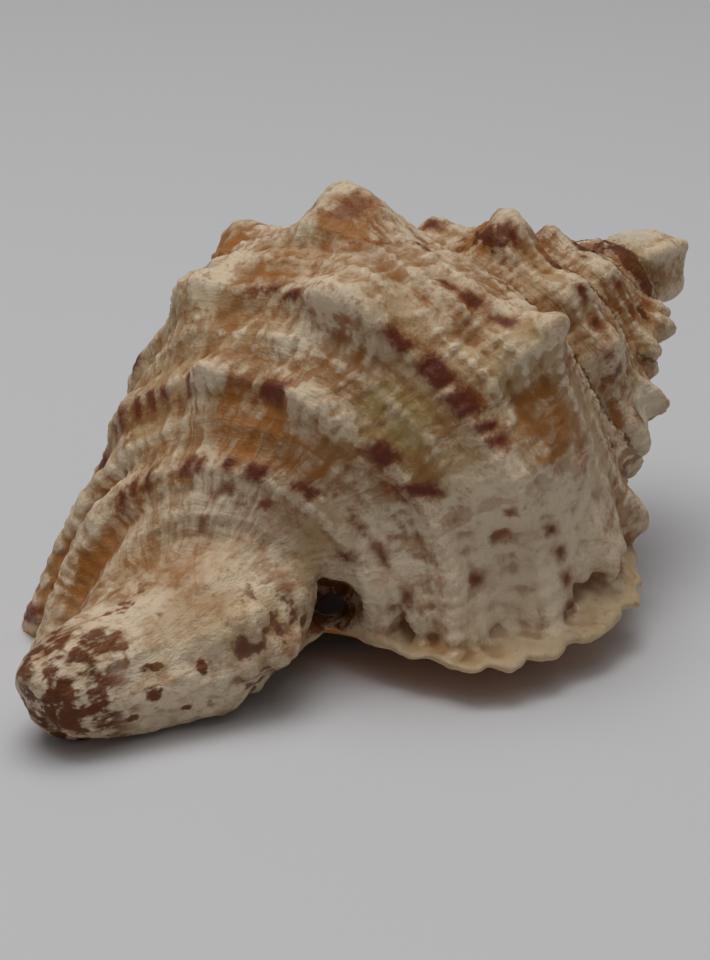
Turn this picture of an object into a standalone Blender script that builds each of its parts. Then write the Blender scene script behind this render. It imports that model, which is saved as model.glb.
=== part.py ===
"""A large knobbed sea shell of the murex kind, resting on its mouth, as one solid.

Metres, +Z up, the table at Z = 0. The shell's axis runs along X, from the canal at -X up to the apex at +X.
Angles round the axis are seen from the canal end: 0 is the right side (-Y), 90 the top, 180 the left side (+Y).
The whorls grow anticlockwise in that view, and the last one ends at the outer lip, low on the left.
A turn counts whole turns from the lip: 0 is the lip, -1 is one turn nearer to the apex.
A share runs along a whorl's outline, from 0 at the seam with the whorl before it to 1 at the foot of the canal.
"""

import math

import bmesh
import bpy
import numpy as np

MM = 0.001

# Driving dimensions, in millimetres and degrees
CENTRING = (1.75, -3.4, 0.0)
APEX = (80.0, 0.0, 55.0)
AXIS_TILT = 16.5
LIP_ANGLE = 222.0
WHORL_RATIO = 1.55
WHORLS = 4.6
OUTLINE_LENGTH = 112.0
VOXEL = 1.3
FACE_SHARE = 0.101

# The last whorl's outline at the lip: distance from the axis, distance from the apex
OUTLINE = (
    (24, 62.5), (30, 66), (37, 71), (44, 77.5), (49, 85.5), (50, 95),
    (48, 105), (42.5, 115), (35, 124.5), (27, 133), (18, 142), (8.5, 149),
)

# Where the outer lip's edge lies, from the seam to the canal
LIP_EDGE = (
    (27, 18, 23), (26, 24, 17), (23, 30, 10), (17, 35, 4), (9, 39, -1), (-2, 43, -1.5),
    (-15, 46.5, -1.5), (-28, 48.5, -1.5), (-40, 47.5, -1.5), (-50, 40, -1.5), (-59, 27, -1.5), (-66, 15, 0),
)
LIP_FLARE_TURNS = 0.21
LIP_WALL = 4.6

# The canal, as sections across X: x, centre y, centre z, half width, half height
CANAL = (
    (-12, 3, 19, 6, 10), (-20, 1, 19.5, 10, 12), (-28, -1, 19.5, 14.5, 13.5), (-35, -1.5, 17.5, 17, 14),
    (-42, -1.5, 14.2, 17.6, 14), (-49, -1.5, 11.4, 17.4, 12.9), (-57, -1, 9.8, 15, 11.6), (-66, -1, 9.3, 12, 10.6),
    (-74, -1.5, 9.6, 9.2, 9.2), (-80, -2, 11, 6, 6), (-83.7, -2.5, 13.4, 2.4, 2.6),
)

# The shield under the shell: its free edge, and the line inside the shell where it starts
SHIELD_EDGE = (
    (-51, -15, 1.5), (-43.5, -14, 3.5), (-36.8, -12.4, 5.5), (-32.4, -14.2, 7.5), (-28.3, -15, 10), (-24.6, -15.8, 11.8),
    (-23.4, -19.2, 10.8), (-22.4, -23.5, 9.2), (-20.4, -31, 8.3), (-17, -39.5, 8), (-11, -44.2, 8), (0.6, -46.2, 8),
    (11, -46.2, 8.6), (22, -44.6, 9.6), (31, -40.5, 11), (38, -34, 13.5), (43, -25, 17), (46, -14, 22),
)
SHIELD_ROOT = (
    (-51, 0, 6), (-44, 0, 6), (-38, 0, 6), (-33, -1, 6), (-28, -2, 5.5), (-23, -3, 5),
    (-18, -5, 5), (-14, -7, 5), (-10, -9, 5), (-6, -11, 4.5), (-2, -12, 4.5), (4, -12, 4.5),
    (11, -12, 5), (18, -12, 6), (24, -11, 9), (29, -10, 13), (33, -8, 18), (36, -6, 22),
)
SHIELD_THICK = 2.8
SHIELD_WAVE = 0.9
SHIELD_WAVES = 26

# Knobs: angle round the axis, whorls back from the last, share, height, reach along the whorl, reach across it
KNOBS = (
    (178, 0, 0.36, 6.5, 7.0, 7.0), (137, 0, 0.36, 8.5, 7.0, 7.0), (97, 0, 0.36, 9.5, 7.5, 7.5),
    (39, 0, 0.35, 9.0, 7.5, 7.5), (160, 0, 0.57, 3.5, 6.0, 7.0), (120, 0, 0.575, 4.5, 6.0, 7.0),
    (76, 0, 0.565, 6.0, 7.5, 9.0), (13, 0, 0.6, 4.0, 8.0, 8.0), (148, 0, 0.72, 3.0, 6.0, 6.0),
    (-37, 0, 0.8, 7.5, 10.5, 18.0), (112, 0, 0.72, 3.5, 6.5, 6.0), (63, 0, 0.71, 4.0, 7.5, 6.0), (-4, 0, 0.72, 2.5, 6.0, 6.0),
    (81, 1, 0.37, 6.5, 5.5, 5.5), (46, 1, 0.38, 4.0, 4.5, 4.5), (19, 1, 0.4, 3.5, 4.5, 4.5),
    (116, 1, 0.37, 3.2, 4.5, 4.5), (165, 1, 0.37, 4.5, 5.0, 5.0), (210, 1, 0.37, 4.5, 5.0, 5.0),
    (92, 2, 0.37, 3.0, 3.0, 3.0), (48, 2, 0.37, 2.4, 3.0, 3.0), (135, 2, 0.37, 2.4, 3.0, 3.0),
)
# Ridges across the whorl, one line of them down each side: angle, whorls back, height, reach along the whorl
RIDGES = ((-39, 0, 11.0, 10.0), (-24, 1, 8.0, 5.0), (-7, 2, 6.5, 3.2), (178, 1, 3.5, 5.0), (184, 2, 2.4, 3.2))
RIDGE_TEETH = 7
CORDS = 13.8
CORD_START = 0.58
CORD_HEIGHT = 0.75
# The toothed hem where the last whorl's cords hang over the shield
HEM_ANGLE = -45.0
HEM_TEETH = 1.6


def bell(distance, reach):
    return np.exp(-((distance / reach) ** 2))


def ease(value):
    """0 below 0, 1 above 1, and a smooth climb between."""
    value = np.clip(value, 0, 1)
    return value * value * (3 - 2 * value)


def smooth_curve(points, shares):
    """A Catmull-Rom curve through the points, read at shares of its way from 0 to 1."""
    points = np.array(points, float)
    ends = np.vstack([2 * points[0] - points[1], points, 2 * points[-1] - points[-2]])
    u = np.clip(shares, 0, 1) * (len(points) - 1)
    i = np.minimum(u.astype(int), len(points) - 2)
    f = (u - i)[..., None]
    a, b, c, d = ends[i], ends[i + 1], ends[i + 2], ends[i + 3]
    return 0.5 * (2 * b + (c - a) * f + (2 * a - 5 * b + 4 * c - d) * f**2 + (3 * b - a - 3 * c + d) * f**3)


def place(radius, degrees, depth):
    """Points at this distance from the axis and angle round it, this far down it from the apex."""
    tilt = math.radians(AXIS_TILT)
    along = np.array([math.cos(tilt), 0.0, math.sin(tilt)])
    right = np.array([0.0, -1.0, 0.0])
    up = np.array([-math.sin(tilt), 0.0, math.cos(tilt)])
    angle = np.radians(degrees)[..., None]
    return np.array(APEX) - depth[..., None] * along + radius[..., None] * (np.cos(angle) * right + np.sin(angle) * up)


def turn_of(degrees, back):
    return (degrees - LIP_ANGLE) / 360 - back


def relief(turn, share, size, radius):
    """How far the shell's surface stands out from the plain whorl."""
    out = np.zeros_like(turn)
    for degrees, back, where, height, reach_along, reach_across in KNOBS:
        along = (turn - turn_of(degrees, back)) * math.tau * radius
        across = (share - where) * OUTLINE_LENGTH * size
        out += height * bell(along, reach_along) * bell(across, reach_across)
    for degrees, back, height, reach in RIDGES:
        along = (turn - turn_of(degrees, back)) * math.tau * radius
        teeth = 0.72 + 0.28 * np.cos(math.tau * RIDGE_TEETH * share)
        out += height * bell(along, reach) * teeth * ease((share - 0.02) / 0.15) * ease((0.95 - share) / 0.2)
    cords = 0.5 + 0.5 * np.cos(math.tau * CORDS * (share - CORD_START))
    out += CORD_HEIGHT * size * cords * ease((share - 0.3) / 0.1)
    hem = (turn - turn_of(HEM_ANGLE, 0)) * math.tau * radius
    out += HEM_TEETH * cords * bell(hem, 4.0) * ease((share - 0.3) / 0.1)
    return out


def folds(turn, share):
    """The strong folds across the flared lip."""
    near_lip = ease((turn + 0.17) / 0.13)
    return near_lip * 2.0 * np.cos(math.tau * CORDS * 0.72 * (share - CORD_START)) * ease((share - 0.35) / 0.15)


def whorl_surface(turn, share, inset=0.0):
    """Points of the outer surface, or of a surface this far inside it."""
    turn, share = np.broadcast_arrays(turn, share)
    size = WHORL_RATIO**turn
    outline = smooth_curve(OUTLINE, share)
    step = 0.004
    slope = smooth_curve(OUTLINE, np.clip(share + step, 0, 1)) - smooth_curve(OUTLINE, np.clip(share - step, 0, 1))
    slope /= np.linalg.norm(slope, axis=-1, keepdims=True)
    out = -inset
    if not inset:
        out = relief(turn, share, size, size * outline[..., 0]) + folds(turn, share)
    radius = size * outline[..., 0] + out * slope[..., 1]
    depth = size * outline[..., 1] - out * slope[..., 0]
    points = place(radius, LIP_ANGLE + 360 * turn, depth)
    flare = np.clip((turn + LIP_FLARE_TURNS) / LIP_FLARE_TURNS, 0, 1) ** 1.7
    plain_edge = place(outline[..., 0], np.full_like(turn, LIP_ANGLE), outline[..., 1])
    return points + flare[..., None] * (smooth_curve(LIP_EDGE, share) - plain_edge)


def tube(name, rings):
    """A closed mesh over rings of points, with a flat cap at each end."""
    count, around = rings.shape[:2]
    mesh = bmesh.new()
    rings = rings + np.array(CENTRING)
    verts = [mesh.verts.new(p * MM) for p in rings.reshape(-1, 3)]
    for i in range(count - 1):
        for j in range(around):
            k = (j + 1) % around
            mesh.faces.new([verts[i * around + j], verts[i * around + k],
                            verts[(i + 1) * around + k], verts[(i + 1) * around + j]])
    for ring in (0, count - 1):
        middle = mesh.verts.new(rings[ring].mean(axis=0) * MM)
        for j in range(around):
            mesh.faces.new([verts[ring * around + j], verts[ring * around + (j + 1) % around], middle])
    bmesh.ops.recalc_face_normals(mesh, faces=mesh.faces)
    data = bpy.data.meshes.new(name)
    mesh.to_mesh(data)
    mesh.free()
    item = bpy.data.objects.new(name, data)
    bpy.context.collection.objects.link(item)
    return item


def whorls():
    """The whorls as a solid, filled in to the axis."""
    turns = np.linspace(-WHORLS, 0, int(WHORLS * 110))
    shares = np.linspace(0, 1, 90)
    skin = whorl_surface(turns[:, None], shares[None, :])
    size = WHORL_RATIO**turns[:, None]
    core = np.linspace(147, 61, 10)[None, :] * size
    middle = place(np.full_like(core, 0.6), (LIP_ANGLE + 360 * turns)[:, None] + 0 * core, core)
    return tube("whorls", np.concatenate([skin, middle], axis=1))


def canal():
    """The stout canal, as rounded sections along X."""
    shares = np.linspace(0, 1, 60)
    sections = smooth_curve(CANAL, shares)
    around = np.linspace(0, math.tau, 40, endpoint=False)
    x = np.repeat(sections[:, 0:1], len(around), axis=1)
    bumps = 1 + 0.04 * np.cos(9 * around)[None, :] * np.sin(math.pi * shares)[:, None]
    y = sections[:, 1:2] + sections[:, 3:4] * np.cos(around) * bumps
    z = sections[:, 2:3] + sections[:, 4:5] * np.sin(around) * bumps
    return tube("canal", np.stack([x, y, z], axis=-1))


def shield():
    """The thin shield whose waved edge stands free on the right."""
    shares = np.linspace(0, 1, 150)
    edge = smooth_curve(SHIELD_EDGE, shares)
    root = smooth_curve(SHIELD_ROOT, shares)
    away = edge - root
    away /= np.linalg.norm(away, axis=1, keepdims=True)
    wave = np.cos(math.tau * SHIELD_WAVES * shares) * ease((shares - 0.3) / 0.1)
    steps = np.linspace(0, 1, 12)
    rings = []
    for i in range(len(shares)):
        line = root[i] + steps[:, None] * (edge[i] + SHIELD_WAVE * wave[i] * away[i] - root[i])
        half = SHIELD_THICK / 2 * (1.5 - 0.9 * steps)
        lift = np.stack([np.zeros(12), np.zeros(12), half], axis=1)
        ripple = np.stack([np.zeros(12), np.zeros(12), 0.6 * wave[i] * steps**3], axis=1)
        rings.append(np.concatenate([line + lift + ripple, (line - lift + ripple)[::-1]]))
    return tube("shield", np.array(rings))


def lump(name, centre, radii, seed_wave):
    """A rounded lump with a few shallow hollows."""
    rows = np.linspace(0.06, math.pi - 0.06, 18)[:, None]
    around = np.linspace(0, math.tau, 28, endpoint=False)[None, :]
    uneven = 1 + seed_wave * np.sin(3 * around + 1) * np.sin(2 * rows) + seed_wave * np.cos(5 * around) * np.sin(rows) ** 2
    x = centre[0] + radii[0] * np.cos(rows) * uneven
    y = centre[1] + radii[1] * np.sin(rows) * np.cos(around) * uneven
    z = centre[2] + radii[2] * np.sin(rows) * np.sin(around) * uneven
    return tube(name, np.stack([x, y, z], axis=-1))


def mouth_cutter():
    """The space inside the last whorl, running out through the mouth."""
    inner = ((8, 134), (10, 118), (12, 102), (14, 94), (18, 87), (23, 81.5), (27.5, 77.5), (31, 75))
    turns = np.linspace(-0.62, 0, 34)
    shares = np.linspace(0.17, 0.93, 20)
    rings = []
    for turn in turns:
        closing = 1 - 0.8 * ease((-0.35 - turn) / 0.27)
        outer = whorl_surface(np.full(len(shares), turn), shares, inset=LIP_WALL)
        size = WHORL_RATIO**turn
        side = smooth_curve(inner, np.linspace(0, 1, 9)) * size
        side = place(side[:, 0], np.full(9, LIP_ANGLE + 360 * turn), side[:, 1])
        ring = np.concatenate([outer, side])
        middle = ring.mean(axis=0)
        rings.append(middle + closing * (ring - middle))
    for drop in (6, 30):
        rings.append(rings[len(turns) - 1] - np.array([0, 0, drop]))
    return tube("mouth", np.array(rings))


def box(name, low, high):
    x0, y0, z0 = low
    x1, y1, z1 = high
    ring = [(x0, y0), (x1, y0), (x1, y1), (x0, y1)]
    return tube(name, np.array([[(x, y, z) for x, y in ring] for z in (z0, z1)], float))


def joined(items):
    bpy.ops.object.select_all(action="DESELECT")
    for item in items:
        item.select_set(True)
    bpy.context.view_layer.objects.active = items[0]
    bpy.ops.object.join()
    return items[0]


def cut(item, cutter):
    cutter.hide_render = True
    cutter.display_type = "WIRE"
    step = item.modifiers.new("cut_" + cutter.name, "BOOLEAN")
    step.operation = "DIFFERENCE"
    step.solver = "EXACT"
    step.object = cutter


def shell_material():
    material = bpy.data.materials.new("cream_shell")
    material.use_nodes = True
    surface = material.node_tree.nodes["Principled BSDF"]
    surface.inputs["Base Color"].default_value = (0.68, 0.56, 0.42, 1)
    surface.inputs["Roughness"].default_value = 0.5
    return material


def build():
    for item in list(bpy.data.objects):
        bpy.data.objects.remove(item, do_unlink=True)
    apex = lump("worn_apex", (70.8, -0.5, 52.0), (9.4, 7.0, 7.2), 0.06)
    callus = lump("callus", (22.0, -10.0, 6.5), (20.0, 15.0, 7.6), 0.03)
    shell = joined([whorls(), canal(), shield(), apex, callus])
    shell.name = "shell"
    shell.data.name = "shell"
    skin = shell.modifiers.new("one_skin", "REMESH")
    skin.mode = "VOXEL"
    skin.voxel_size = VOXEL * MM
    blend = shell.modifiers.new("blend", "SMOOTH")
    blend.factor = 0.5
    blend.iterations = 4
    fewer = shell.modifiers.new("fewer_faces", "DECIMATE")
    fewer.ratio = FACE_SHARE
    cut(shell, mouth_cutter())
    cut(shell, lump("pit", (-23.5, -14.5, 14.5), (6.5, 7.0, 6.0), 0.03))
    cut(shell, box("table", (-120, -90, -40), (120, 90, 0)))
    shell.data.materials.clear()
    shell.data.materials.append(shell_material())


build()
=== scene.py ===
import math

import bmesh
import bpy
import numpy as np
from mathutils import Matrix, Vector


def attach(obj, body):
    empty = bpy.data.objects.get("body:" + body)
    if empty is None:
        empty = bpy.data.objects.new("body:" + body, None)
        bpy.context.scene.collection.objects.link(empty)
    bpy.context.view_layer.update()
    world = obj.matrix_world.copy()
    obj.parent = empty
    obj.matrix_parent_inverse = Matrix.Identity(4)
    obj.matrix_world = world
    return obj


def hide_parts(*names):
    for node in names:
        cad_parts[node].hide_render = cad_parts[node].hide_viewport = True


# A large knobbed sea shell, resting mouth down.
# Sizes are in millimetres and angles in degrees until a mesh is made.
# Angles round the shell's axis are seen from the canal end: 0 is the right side, 90 the top, 180 the left side.
# A turn counts whole turns from the lip: 0 is the lip, -1 is one turn nearer to the apex.
# A share runs along a whorl's outline, from 0 at the seam with the whorl before it to 1 at the foot of the canal.

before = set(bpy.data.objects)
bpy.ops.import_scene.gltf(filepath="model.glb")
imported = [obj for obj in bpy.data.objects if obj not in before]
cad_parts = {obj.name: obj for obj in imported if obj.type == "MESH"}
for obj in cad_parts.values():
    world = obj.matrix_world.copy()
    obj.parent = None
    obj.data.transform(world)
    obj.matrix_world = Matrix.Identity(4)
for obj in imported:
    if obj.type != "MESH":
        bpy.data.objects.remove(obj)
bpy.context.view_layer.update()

MM = 0.001
SEED = 7

# Moves the shell so that its box is centred
CENTRING = (1.75, -3.4, 0.0)
APEX = (80.0, 0.0, 55.0)
AXIS_TILT = 16.5
LIP_ANGLE = 222.0
WHORL_RATIO = 1.55
WHORLS = 4.6
# The last whorl's outline at the lip: distance from the axis and depth down it from the apex
OUTLINE_LENGTH = 112.0
OUTLINE = (
    (24, 62.5), (30, 66), (37, 71), (44, 77.5), (49, 85.5), (50, 95),
    (48, 105), (42.5, 115), (35, 124.5), (27, 133), (18, 142), (8.5, 149),
)
# Where the flaring lip ends, from the seam to the canal, and how its flare grows over the last part of a turn
LIP_EDGE = (
    (27, 18, 23), (26, 24, 17), (23, 30, 10), (17, 35, 4), (9, 39, -1), (-2, 43, -1.5),
    (-15, 46.5, -1.5), (-28, 48.5, -1.5), (-40, 47.5, -1.5), (-50, 40, -1.5), (-59, 27, -1.5), (-66, 15, 0),
)
LIP_FLARE_TURNS = 0.21
LIP_FLARE_POWER = 1.7
LIP_WALL = 4.6
# The space inside: how far round it runs, and the side of its outline that lies towards the axis
MOUTH_TURNS = 0.62
MOUTH_SIDE = ((8, 134), (10, 118), (12, 102), (14, 94), (18, 87), (23, 81.5), (27.5, 77.5), (31, 75))
# The canal's sections from its root to its tip: x, y, z, half width, half height
CANAL = (
    (-12, 3, 19, 6, 10), (-20, 1, 18.5, 9.5, 11), (-28, -1, 18, 13.5, 11.6), (-35, -1.5, 16, 16.4, 12.4),
    (-42, -1.5, 13.6, 17.4, 13.1), (-49, -1.5, 11.4, 17.4, 12.9), (-57, -1, 9.8, 15, 11.6),
    (-66, -1, 9.3, 12, 10.6), (-74, -1.5, 9.6, 9.4, 9.2), (-79.2, -2, 10.8, 7.2, 6.8),
    (-82.3, -1.6, 13.8, 2.8, 2.4),
)
# The open slot under the canal: a point and a half width
SIPHON = (
    (-14, 10, 0, 3.4), (-30, 3, 0, 3.0), (-45, -3.5, 0, 2.6), (-60, -5.5, 0.6, 2.3), (-72, -5, 2.4, 2.1),
    (-80, -4, 5.2, 2.0), (-88, -3, 9, 2.4),
)
# The shield's free edge and its root on the whorl, from the canal to the spire
SHIELD_EDGE = (
    (-51, -15, 1.5), (-43.5, -14, 3.5), (-36.8, -12.4, 5.5), (-32.4, -14.2, 7.5), (-28.3, -15, 10),
    (-24.6, -15.8, 11.8), (-23.4, -19.2, 10.8), (-22.4, -23.5, 9.2), (-20.4, -31, 8.3), (-17, -39.5, 8),
    (-11, -44.2, 8), (0.6, -46.2, 8), (11, -46.2, 8.6), (22, -44.6, 9.6), (29, -39.5, 11), (35, -31.5, 13.5),
    (40, -22.5, 17), (45, -13, 22),
)
SHIELD_ROOT = (
    (-51, 0, 6), (-44, 0, 6), (-38, 0, 6), (-33, -1, 6), (-28, -2, 5.5), (-23, -3, 5),
    (-18, -5, 5), (-14, -7, 5), (-10, -9, 5), (-6, -11, 4.5), (-2, -12, 4.5), (4, -12, 4.5),
    (11, -12, 5), (18, -12, 6), (24, -11, 9), (29, -10, 13), (33, -8, 18), (36, -6, 22),
)
SHIELD_THICK = 2.8
SHIELD_WAVE = 1.25
SHIELD_WAVES = 17
# How far the shield's top swells up to meet the hem: share along it and height
SHIELD_SWELL = ((0.34, 0), (0.44, 1.8), (0.5, 2.4), (0.66, 2.4), (0.76, 3.6), (0.88, 4.2), (1.0, 0))

# Knobs: angle round the axis, whorls back from the last, share, height, reach along the whorl, reach across it
KNOBS = (
    (178, 0, 0.36, 6.0, 7.0, 7.0), (137, 0, 0.36, 7.8, 7.0, 7.0), (97, 0, 0.36, 8.0, 7.5, 7.5),
    (39, 0, 0.35, 5.0, 7.5, 7.5), (39, 0, 0.365, 4.0, 2.6, 3.6), (38, 0, 0.43, 1.8, 2.0, 6.0),
    (30, 0, 0.45, -2.6, 4.0, 7.0), (50, 0, 0.46, -1.2, 3.5, 5.0), (160, 0, 0.57, 1.0, 6.0, 7.0),
    (120, 0, 0.575, 4.5, 6.0, 7.0), (76, 0, 0.55, 3.0, 8.0, 8.0), (71, 0, 0.565, 4.6, 8.0, 3.6),
    (13, 0, 0.6, 4.0, 8.0, 8.0), (148, 0, 0.72, 3.0, 6.0, 6.0), (102, 0, 0.725, 3.6, 4.0, 4.2),
    (63, 0, 0.71, 4.0, 7.5, 6.0), (-4, 0, 0.72, 2.5, 6.0, 6.0), (81, 1, 0.37, 7.0, 5.0, 5.5),
    (90, 1, 0.42, -3.4, 2.6, 3.0), (46, 1, 0.38, 4.0, 4.5, 4.5), (19, 1, 0.4, 3.5, 4.5, 4.5),
    (116, 1, 0.37, 3.2, 4.5, 4.5), (165, 1, 0.37, 4.5, 5.0, 5.0), (210, 1, 0.37, 4.5, 5.0, 5.0),
    (92, 2, 0.37, 3.0, 3.0, 3.0), (48, 2, 0.37, 2.4, 3.0, 3.0), (135, 2, 0.37, 2.4, 3.0, 3.0),
)
# Ridges across the whorl, one line of them down each side: angle, whorls back, height, reach along the whorl
RIDGES = ((-39, 0, 11.0, 10.0), (-24, 1, 8.0, 5.0), (-7, 2, 6.5, 3.2), (178, 1, 3.5, 5.0), (184, 2, 2.4, 3.2))
RIDGE_TEETH = 7
# Cords run along the whorls, this many across the outline. Keels are the strongest of them
CORDS = 13.8
CORD_START = 0.58
CORD_HEIGHT = 0.3
KEELS = (0.57, 0.725, 0.865)
KEEL_HEIGHT = 1.3
# Folds cross the flaring lip: where they begin, the turns they rise over, height on the whorl and by the canal
FOLD_START = -0.27
FOLD_RISE = 0.14
FOLD_HEIGHTS = (0.9, 8.4)
FOLDS_PER_CORD = 0.8
# The hem is the toothed lower edge of the last whorl's right side, and stands out over the shield
HEM_TURN = -0.686
HEM_DEPTH = 2.7
HEM_SPREAD = 2.2
HEM_EDGE = 0.8
HEM_FADE = 17
HEM_TOOTH_WIDTH = 2.5
HEM_TOOTH_TURNS = 0.019
# The whorl swells above the hem: angle, share, height, reach along the whorl, reach across it
HEM_SWELL = (-37, 0.8, 7.5, 10.5, 18.0)
# Teeth of the hem: share and length
HEM_TEETH = (
    (0.39, 0.7), (0.44, 0.7), (0.49, 0.7), (0.535, 0.6), (0.58, 0.9), (0.63, 0.8), (0.69, 1.5), (0.735, 0.9),
    (0.785, 0.9), (0.85, 0.8),
)

# Rounded lumps: centre, radii, unevenness and roundness. The pit and the chip are cut away
LUMPS = {
    "worn_apex": ((70.8, -0.5, 52.0), (9.0, 6.4, 6.6), 0.07, 0.5),
    "callus": ((22.0, -10.0, 6.5), (20.0, 15.0, 7.6), 0.03, 1.0),
    "beak": ((-81.3, -1.3, 14.8), (3.0, 1.4, 1.2), 0.03, 1.0),
    "pit": ((-24.0, -14.5, 14.8), (5.2, 7.0, 5.4), 0.06, 1.0),
    "chip": ((-86.2, -2.5, 4.8), (6.2, 14.0, 7.2), 0.04, 1.0),
}

GROWTH_LINES = 64.0
# Heights of the fine surface, in millimetres
SURFACE = {
    "Cords": CORDS, "Cord start": CORD_START, "Cord height": 0.4, "Threads per cord": 3.0, "Thread height": 0.3,
    "Beads per turn": 118.0, "Bead height": 0.55, "Growth lines per turn": GROWTH_LINES,
    "Growth line height": 0.3, "Unevenness": 0.55, "Ratio": WHORL_RATIO,
}

# Spots: turn, share, half length along the cord, half width across it in millimetres, slant
DARK_SPOTS = (
    (-0.453, 0.569, 2.5, 1.3, 0.3), (-0.485, 0.565, 3.3, 1.9, 0.2), (-0.514, 0.565, 2.5, 2.3, 0.2),
    (-0.536, 0.565, 0.9, 1.5, 0.3), (-0.549, 0.56, 0.8, 1.4, 0.2), (-0.335, 0.584, 1.6, 0.7, 1.0),
    (-0.352, 0.578, 1.2, 0.7, 1.2), (-0.372, 0.585, 1.9, 0.8, 1.0), (-0.642, 0.534, 0.9, 0.8, 0.3),
    (-0.662, 0.53, 0.9, 0.7, 0.0), (-0.678, 0.533, 0.8, 0.8, 0.0), (-0.692, 0.54, 0.6, 0.6, 0.0),
    (-0.692, 0.528, 0.5, 0.6, 0.0), (-0.395, 0.732, 2.5, 1.6, 0.0), (-0.305, 0.742, 0.8, 1.7, 0.2),
    (-0.268, 0.735, 0.8, 1.2, 0.0), (-0.25, 0.735, 0.7, 1.4, 0.2), (-0.235, 0.738, 0.6, 1.5, 0.3),
    (-0.216, 0.74, 0.6, 1.6, 0.3), (-0.203, 0.742, 0.6, 1.6, 0.3), (-0.509, 0.72, 2.3, 1.7, 0.3),
    (-0.558, 0.71, 1.4, 2.0, 0.6), (-0.55, 0.745, 1.9, 0.35, 0.8), (-0.383, 0.862, 0.9, 0.8, 0.4),
    (-0.422, 0.862, 1.5, 1.3, 0.3), (-0.486, 0.849, 1.8, 0.9, 0.5), (-0.328, 0.868, 0.7, 0.9, 0.3),
    (-0.345, 0.868, 0.8, 0.8, 0.0), (-0.262, 0.871, 0.7, 1.5, 0.4), (-0.24, 0.872, 0.7, 1.5, 0.4),
    (-0.222, 0.878, 0.6, 1.3, 0.4), (-0.57, 0.84, 1.7, 0.35, 0.6), (-0.612, 0.828, 1.7, 0.45, 0.5),
    (-0.605, 0.878, 0.8, 0.6, 0.0), (-0.655, 0.802, 0.8, 0.8, 0.0), (-0.657, 0.683, 0.5, 0.7, 0.2),
    (-0.459, 0.401, 1.8, 1.4, 0.3), (-0.484, 0.398, 1.7, 1.0, 0.2), (-0.44, 0.405, 1.6, 1.1, 0.4),
    (-0.405, 0.35, 1.2, 0.9, 0.8), (-0.462, 0.255, 1.2, 0.6, 0.0),
)
RUST_SPOTS = (
    (-0.389, 0.405, 1.0, 2.0, 0.6), (-0.388, 0.319, 2.2, 0.8, 0.6), (-0.36, 0.395, 1.6, 2.4, 0.3),
    (-0.363, 0.732, 2.2, 1.2, 0.2), (-0.368, 0.958, 0.8, 1.6, 0.0), (-0.375, 0.912, 0.6, 0.7, 0.0),
    (-0.42, 0.915, 1.4, 0.4, 0.0), (-0.459, 0.903, 0.8, 1.0, 0.4), (-0.392, 0.897, 1.3, 0.9, 0.0),
    (-0.556, 0.555, 0.8, 0.5, 0.0), (-0.61, 0.755, 2.2, 0.5, 0.6), (-0.592, 0.775, 1.8, 0.5, 0.6),
    (-0.6, 0.79, 0.6, 1.6, 0.3), (-0.625, 0.76, 0.6, 1.8, 0.3), (-0.247, 0.885, 0.6, 1.4, 0.0),
    (-0.63, 0.63, 1.0, 1.5, 0.0), (-0.605, 0.6, 1.2, 0.9, 0.0), (-0.4, 0.64, 0.6, 0.5, 0.0),
    (-1.6, 0.45, 1.0, 1.4, 0.3), (-1.57, 0.43, 0.8, 1.2, 0.3), (-2.56, 0.44, 0.7, 1.2, 0.3),
)
SPOT_ROWS = (0.2, 0.4, 0.575, 0.73, 0.865)
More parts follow.
